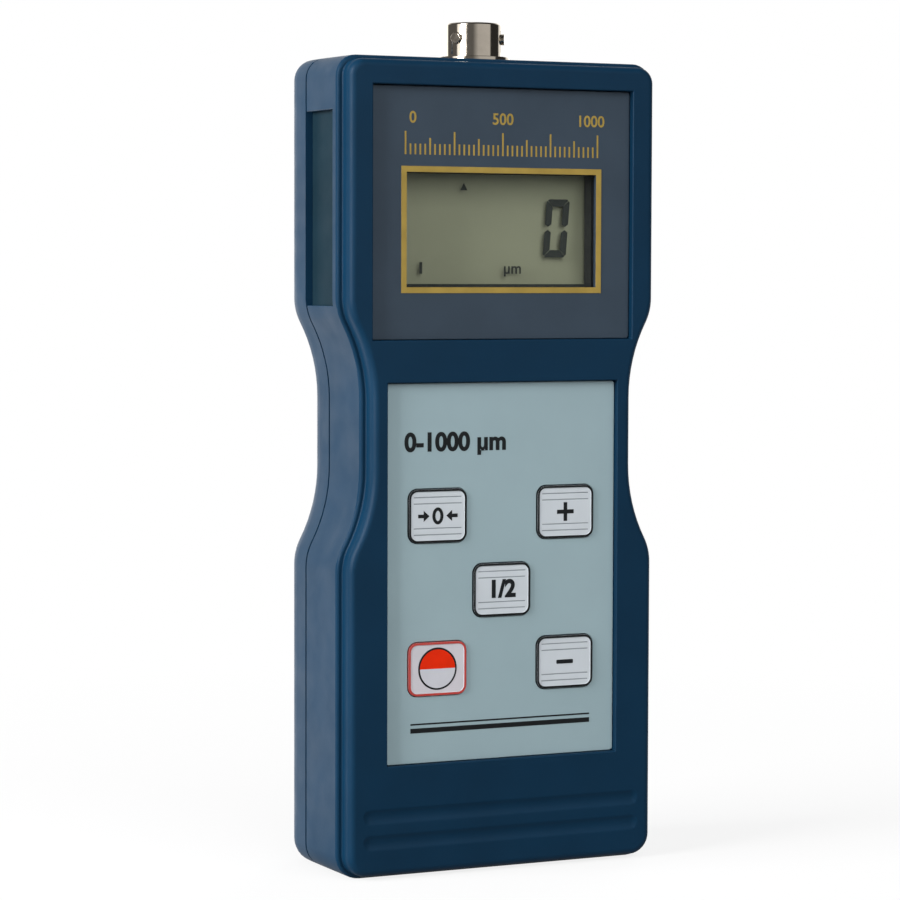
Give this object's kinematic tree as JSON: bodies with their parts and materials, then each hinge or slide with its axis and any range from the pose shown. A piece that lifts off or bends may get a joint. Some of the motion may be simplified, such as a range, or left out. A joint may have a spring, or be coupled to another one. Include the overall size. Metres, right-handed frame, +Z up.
{
  "type": "coating thickness gauge",
  "caption": "Hand-held coating thickness gauge: waisted two-shell housing with a windowed display, push keys, battery cover and a bayonet probe socket.",
  "frame": {"origin": "middle of the bottom end that it stands on", "axes": "+Z up along the housing to the probe socket, -Y out of the display and keys, +X to the right as the display is read"},
  "size_m": [0.0666, 0.032, 0.1609],
  "materials": {
    "housing_blue": "fine-textured moulded plastic",
    "panel_slate": "satin printed panel",
    "window_clear": "clear acrylic",
    "border_gold": "printed ink",
    "lcd_grey": "polariser",
    "holder_black": "moulded plastic",
    "strip_pink": "elastomer",
    "keypad_pale": "satin polyester film on a plate",
    "key_pale": "satin film",
    "power_key_pale": "satin film",
    "switch_black": "moulded plastic",
    "board_green": "solder mask",
    "fixing_steel": "zinc plated",
    "chip_black": "moulded epoxy",
    "capacitor_sleeve": "shrink sleeve",
    "cell_jacket": "printed jacket, plain",
    "contact_steel": "nickel plated",
    "lead_red": "insulated wire",
    "socket_nickel": "bright nickel plate",
    "insulator_cream": "moulded plastic",
    "contact_gold": "gold flashed",
    "lead_pale": "insulated wire",
    "side_slate": "satin plate"
  },
  "bodies": {
    "housing": {"front_shell": "housing_blue", "rear_shell": "housing_blue", "display_panel": "panel_slate", "display_window": "window_clear", "window_border": "border_gold", "lcd_cell": "lcd_grey", "lcd_holder": "holder_black", "lcd_strips": "strip_pink", "keypad_plate": "keypad_pale", "key_switches": "switch_black", "main_board": "board_green", "board_screws": "fixing_steel", "controller_chip": "chip_black", "amplifier_chips": "chip_black", "crystal": "fixing_steel", "capacitors": "capacitor_sleeve", "battery_cells": "cell_jacket", "battery_springs": "contact_steel", "battery_contacts": "contact_steel", "battery_leads": "lead_red", "socket_shell": "socket_nickel", "socket_insert": "insulator_cream", "socket_contacts": "contact_gold", "socket_washer": "fixing_steel", "socket_nut": "fixing_steel", "socket_leads": "lead_pale", "side_plate_left": "side_slate", "side_plate_right": "side_slate", "case_screws": "fixing_steel"},
    "zero_key": {"zero_key": "key_pale", "zero_stem": "switch_black"},
    "plus_key": {"plus_key": "key_pale", "plus_stem": "switch_black"},
    "mode_key": {"mode_key": "key_pale", "mode_stem": "switch_black"},
    "power_key": {"power_key": "power_key_pale", "power_stem": "switch_black"},
    "minus_key": {"minus_key": "key_pale", "minus_stem": "switch_black"},
    "battery_cover": {"battery_cover": "housing_blue"}
  },
  "joints": [
    {"name": "zero_key_press", "type": "slide", "parent": "housing", "child": "zero_key", "axis": [0, 1, 0], "range_m": [0, 0.0004], "stiffness_N_per_m": 2000},
    {"name": "plus_key_press", "type": "slide", "parent": "housing", "child": "plus_key", "axis": [0, 1, 0], "range_m": [0, 0.0004], "stiffness_N_per_m": 2000},
    {"name": "mode_key_press", "type": "slide", "parent": "housing", "child": "mode_key", "axis": [0, 1, 0], "range_m": [0, 0.0004], "stiffness_N_per_m": 2000},
    {"name": "power_key_press", "type": "slide", "parent": "housing", "child": "power_key", "axis": [0, 1, 0], "range_m": [0, 0.0004], "stiffness_N_per_m": 2000},
    {"name": "minus_key_press", "type": "slide", "parent": "housing", "child": "minus_key", "axis": [0, 1, 0], "range_m": [0, 0.0004], "stiffness_N_per_m": 2000},
    {"name": "battery_cover_slide", "type": "slide", "parent": "housing", "child": "battery_cover", "axis": [0, 0, -1], "range_m": [0, 0.006]}
  ]
}
